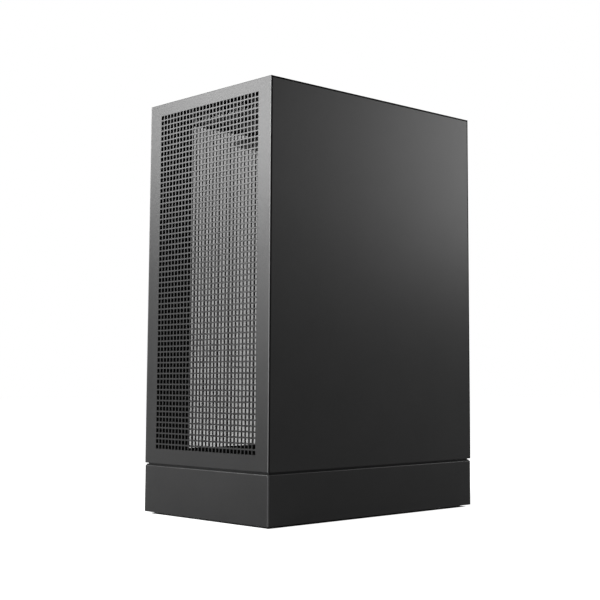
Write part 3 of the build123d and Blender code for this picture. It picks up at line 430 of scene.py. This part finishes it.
class Sheet:
    """A flat sheet seen from outside: u runs right, v runs up and depth runs inwards."""

    def __init__(self, origin, right, up):
        self.origin, self.right, self.up = Vector(origin), Vector(right), Vector(up)
        self.normal = self.right.cross(self.up)
        self.points, self.faces, self.smooth, self.edges = [], [], [], []

    def point(self, u, v, depth):
        place = self.origin + self.right * u + self.up * v - self.normal * depth
        self.points.append(tuple(place))
        return len(self.points) - 1

    def face(self, corners, smooth=False, edge=0):
        """A face, with edge 1 where it takes the near-black coat that paints the shade in the
        gap at a sheet's edge.
        """
        self.faces.append(tuple(corners))
        self.smooth.append(smooth)
        self.edges.append(edge)

    def box(self, u0, u1, v0, v1, d0, d1):
        """A plain bar."""
        ids = [self.point(u, v, d) for d in (d1, d0) for v in (v0, v1) for u in (u0, u1)]
        for corners in BOX_FACES:
            self.face([ids[k] for k in corners])

    def band(self, ring, beyond, smooth, edge):
        """Faces between two rings of points along the rim."""
        for s in range(len(ring)):
            t = (s + 1) % len(ring)
            self.face((ring[s], beyond[s], beyond[t], ring[t]), smooth, edge)

    def wall(self, top, edge, back, smooth):
        """A hole's chamfer and wall, from its ring on the outer face to that on the inner."""
        for s in range(len(top)):
            t = (s + 1) % len(top)
            self.face((top[s], top[t], edge[t], edge[s]), smooth)
            self.face((edge[s], edge[t], back[t], back[s]), smooth)

    def perforated(self, extent, columns, rows, thickness, rims, cutouts=()):
        """The sheet with its holes; extent is (u0, u1, v0, v1)."""
        u0, u1, v0, v1 = extent
        low_v, high_u, high_v, low_u = rims
        face_u = (u0 + low_u * RIM_RADIUS, u1 - high_u * RIM_RADIUS)
        face_v = (v0 + low_v * RIM_RADIUS, v1 - high_v * RIM_RADIUS)
        outer_u = grid_lines(*face_u, columns, HOLE_CHAMFER)
        outer_v = grid_lines(*face_v, rows, HOLE_CHAMFER)
        inner_u = grid_lines(u0, u1, columns, 0.0)
        inner_v = grid_lines(v0, v1, rows, 0.0)
        outer = [[self.point(u, v, 0.0) for u in outer_u] for v in outer_v]
        inner = [[self.point(u, v, thickness) for u in inner_u] for v in inner_v]
        for j in range(len(outer_v) - 1):
            for i in range(len(outer_u) - 1):
                if i % 2 == 1 and j % 2 == 1:
                    self.hole(outer, inner, inner_u, inner_v, i, j)
                elif j > 0 or not cutouts:
                    a, b = outer[j], outer[j + 1]
                    self.face((a[i], a[i + 1], b[i + 1], b[i]))
                    a, b = inner[j], inner[j + 1]
                    self.face((a[i], b[i], b[i + 1], a[i + 1]))
        if cutouts:
            tops = self.fill_strip(outer, outer_u, outer_v, cutouts, 0.0, False)
            backs = self.fill_strip(inner, inner_u, inner_v, cutouts, thickness, True)
            for loop, top, back in zip(cutouts, tops, backs):
                self.wall(top, [self.point(u, v, HOLE_CHAMFER) for u, v in loop], back, True)
        self.rim(extent, outer_u, outer_v, rims, outer, inner)

    def hole(self, outer, inner, inner_u, inner_v, i, j):
        corners = ((i, j), (i + 1, j), (i + 1, j + 1), (i, j + 1))
        top = [outer[b][a] for a, b in corners]
        edge = [self.point(inner_u[a], inner_v[b], HOLE_CHAMFER) for a, b in corners]
        back = [inner[b][a] for a, b in corners]
        self.wall(top, edge, back, False)

    def fill_strip(self, grid, us, vs, cutouts, depth, inward):
        """The strip between the first two rows, less its cut-outs; returns their rings."""
        points = [Vector((u, vs[0])) for u in us] + [Vector((u, vs[1])) for u in reversed(us)]
        ids = list(grid[0]) + list(reversed(grid[1]))
        edges = [(k, (k + 1) % len(points)) for k in range(len(points))]
        loops, rings = [], []
        for loop in cutouts:
            used = loop if inward else widen(loop, HOLE_CHAMFER)
            start = len(points)
            points += [Vector(p) for p in used]
            edges += [(start + k, start + (k + 1) % len(used)) for k in range(len(used))]
            loops.append(used)
            rings.append([self.point(u, v, depth) for u, v in used])
            ids += rings[-1]
        made = delaunay_2d_cdt(points, edges, [], KEEP_INSIDE, CDT_TOLERANCE)
        out, triangles, origin = made[0], made[2], made[3]
        for triangle in triangles:
            p, q, r = (out[k] for k in triangle)
            middle = (p + q + r) / 3
            if any(inside(middle, loop) for loop in loops):
                continue
            corners = [ids[origin[k][0]] for k in triangle]
            if ((q - p).cross(r - p) < 0) != inward:
                corners.reverse()
            self.face(corners)
        return rings

    def rim(self, extent, us, vs, rims, outer, inner):
        """The rounded rim of the outer face, and the flat edge down to the inner one, its outer
        steps and the edge in painted shade.
        """
        u0, u1, v0, v1 = extent
        low_v, high_u, high_v, low_u = rims
        last_u, last_v = len(us) - 1, len(vs) - 1
        border = [(i, 0) for i in range(last_u)]
        border += [(last_u, j) for j in range(last_v)]
        border += [(i, last_v) for i in range(last_u, 0, -1)]
        border += [(0, j) for j in range(last_v, 0, -1)]
        ring = [outer[j][i] for i, j in border]
        for step in range(1, RIM_STEPS + 1):
            turn = math.pi / 2 * step / RIM_STEPS
            inset, depth = RIM_RADIUS * (1 - math.sin(turn)), RIM_RADIUS * (1 - math.cos(turn))
            step_u = [u0 + low_u * inset] + us[1:-1] + [u1 - high_u * inset]
            step_v = [v0 + low_v * inset] + vs[1:-1] + [v1 - high_v * inset]
            beyond = [self.point(step_u[i], step_v[j], depth) for i, j in border]
            # The rim's outer steps take the painted shade of the gap
            self.band(ring, beyond, True, int(step >= FIRST_SHADED_STEP))
            ring = beyond
        self.band(ring, [inner[j][i] for i, j in border], False, 1)

    def screen(self, extent):
        """A fine screen of crossed bars that fills a window in the sheet."""
        u0, u1, v0, v1 = extent
        near, far = SCREEN_DEPTHS
        half = SCREEN_BAR / 2
        for centre in bar_centres(u0, u1):
            self.box(centre - half, centre + half, v0, v1, near, far)
        for centre in bar_centres(v0, v1):
            self.box(u0, u1, centre - half, centre + half, near + BAR_STAGGER, far - BAR_STAGGER)

    def hang(self, name, node, body):
        """Makes the sheet an object that stands in for its plain solid."""
        mesh = bpy.data.meshes.new(name)
        mesh.from_pydata(self.points, [], self.faces)
        mesh.polygons.foreach_set("use_smooth", self.smooth)
        mesh.materials.append(SLOTS["outer_steel"])
        mesh.materials.append(sheet_edge_shade_coat)
        mesh.polygons.foreach_set("material_index", self.edges)
        mesh.update()
        piece = add_object(name, mesh)
        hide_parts(node)
        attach(piece, body)


face_columns = hole_edges(HOLES_ACROSS, 0.0)
face_rows = hole_edges(HOLES_UP, FACE_MIDDLE)

low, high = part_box("front_mesh_panel")
front = Sheet((0, low.y, 0), (1, 0, 0), (0, 0, 1))
extent = (low.x, high.x, low.z, high.z)
front.perforated(extent, face_columns, face_rows, high.y - low.y, EVERY_RIM)
front.hang("front_mesh", "front_mesh_panel", "front_panel")

low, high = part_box("rear_mesh_panel")
rear = Sheet((0, high.y, 0), (-1, 0, 0), (0, 0, 1))
extent = (low.x, high.x, low.z, high.z)
rear.perforated(extent, face_columns, face_rows, high.y - low.y, EVERY_RIM)
rear.hang("rear_mesh", "rear_mesh_panel", "rear_panel")

low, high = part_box("left_mesh_panel")
left = Sheet((low.x, 0, 0), (0, -1, 0), (0, 0, 1))
extent = (low.y, high.y, low.z, high.z)
across, upward = (-WINDOW_HALF, WINDOW_HALF), (WINDOW_LOW, WINDOW_HIGH)
left.perforated(extent, [across], [upward], high.x - low.x, EVERY_RIM)
left.screen(across + upward)
left.hang("left_mesh", "left_mesh_panel", "left_panel")

low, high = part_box("top_mesh_panel")
top = Sheet((0, 0, high.z), (1, 0, 0), (0, 1, 0))
extent = (low.x, high.x, low.y, high.y)
top_rows = hole_edges(HOLES_DEEP, TOP_MIDDLE)
cutouts = [
    slot_loop(centre, PORT_Y, width + 2 * PORT_FIT, height + 2 * PORT_FIT, radius)
    for centre, width, height, radius in PORT_SLOTS
]
cutouts += [
    circle_loop(centre, PORT_Y, radius + PORT_FIT, sides) for centre, radius, sides in ROUND_CUTS
]
top.perforated(extent, face_columns, top_rows, high.z - low.z, SIDE_RIMS, cutouts)
top.hang("top_mesh", "top_mesh_panel", "top_panel")


def seen_rays(tree):
    """1 for camera, glossy and transmission rays, and 0 for the rays that light things."""
    path = tree.nodes.new("ShaderNodeLightPath").outputs
    either = combine(tree, "MAXIMUM", path["Is Camera Ray"], path["Is Glossy Ray"])
    return combine(tree, "MAXIMUM", either, path["Is Transmission Ray"])


def blend_shaders(tree, factor, first, second):
    mix = tree.nodes.new("ShaderNodeMixShader")
    tree.links.new(factor, mix.inputs[0])
    tree.links.new(first, mix.inputs[1])
    tree.links.new(second, mix.inputs[2])
    return mix.outputs[0]


world = bpy.data.worlds.new("studio")
bpy.context.scene.world = world
world.use_nodes = True
tree = world.node_tree
plain = tree.nodes["Background"]
white = tree.nodes.new("ShaderNodeBackground")
for background, strength in ((plain, AMBIENT), (white, 1.0)):
    background.inputs["Color"].default_value = WHITE
    background.inputs["Strength"].default_value = strength
backdrop = blend_shaders(tree, seen_rays(tree), plain.outputs[0], white.outputs[0])
tree.links.new(backdrop, tree.nodes["World Output"].inputs["Surface"])


def floor_finish(name, glows):
    """Matt grey, white to the camera where it glows, and clear when seen from below."""
    material, tree, shader = new_material(name)
    shader.inputs["Base Color"].default_value = FLOOR_GREY
    shader.inputs["Roughness"].default_value = 1.0
    shader.inputs["Specular IOR Level"].default_value = 0.0
    surface = shader.outputs[0]
    if glows:
        glow = tree.nodes.new("ShaderNodeEmission")
        camera_ray = tree.nodes.new("ShaderNodeLightPath").outputs["Is Camera Ray"]
        glow_strength = remap(tree, camera_ray, GLOW_MIRRORED, GLOW_SEEN, 0.0, 1.0)
        tree.links.new(glow_strength, glow.inputs["Strength"])
        add = tree.nodes.new("ShaderNodeAddShader")
        tree.links.new(surface, add.inputs[0])
        tree.links.new(glow.outputs[0], add.inputs[1])
        surface = blend_shaders(tree, seen_rays(tree), surface, add.outputs[0])
    clear = tree.nodes.new("ShaderNodeBsdfTransparent")
    below = tree.nodes.new("ShaderNodeNewGeometry").outputs["Backfacing"]
    surface = blend_shaders(tree, below, surface, clear.outputs[0])
    tree.links.new(surface, tree.nodes["Material Output"].inputs["Surface"])
    return material


# A ring of four faces, and within it the face that lies under the case, which doesn't glow: a
# painted shadow
floor_mesh = bpy.data.meshes.new("floor")
corners = [
    (su * half_x, sv * half_y, 0)
    for half_x, half_y in ((FLOOR_HALF, FLOOR_HALF), (SHADE_X, SHADE_Y))
    for su, sv in ((-1, -1), (1, -1), (1, 1), (-1, 1))
]
ring = [(k, (k + 1) % 4, (k + 1) % 4 + 4, k + 4) for k in range(4)]
floor_mesh.from_pydata(corners, [], ring + [(4, 5, 6, 7)])
floor_mesh.polygons[4].material_index = 1
floor = add_object("floor", floor_mesh)
floor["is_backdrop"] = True
floor_mesh.materials.append(floor_finish("floor", True))
floor_mesh.materials.append(floor_finish("floor_painted_shadow", False))

for name, bearing, rise, watts in LAMPS:
    bearing, rise = math.radians(bearing), math.radians(rise)
    away = Vector(
        (math.cos(rise) * math.cos(bearing), math.cos(rise) * math.sin(bearing), math.sin(rise))
    )
    lamp = bpy.data.lights.new(name, "AREA")
    lamp.shape = "RECTANGLE"
    lamp.size, lamp.size_y = LAMP_WIDTH, LAMP_HEIGHT
    lamp.energy = watts
    holder = add_object(name, lamp)
    holder.location = LAMP_TARGET + away * LAMP_DISTANCE
    holder.rotation_mode = "QUATERNION"
    holder.rotation_quaternion = (-away).to_track_quat("-Z", "Y")
    holder.visible_camera = False

camera_data = bpy.data.cameras.new("camera")
camera_data.lens, camera_data.sensor_width = LENS, SENSOR
camera_data.shift_x, camera_data.shift_y = SHIFT_X, SHIFT_Y
camera_data.clip_start, camera_data.clip_end = CLIP_START, CLIP_END
camera = add_object("camera", camera_data)
camera.location = CAMERA_PLACE
side = math.cos(PITCH_UP) * math.sqrt(0.5)
camera.rotation_mode = "QUATERNION"
camera.rotation_quaternion = Vector((-side, side, math.sin(PITCH_UP))).to_track_quat("-Z", "Y")
bpy.context.scene.camera = camera
bpy.context.scene.view_settings.view_transform = "Standard"

low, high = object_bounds()
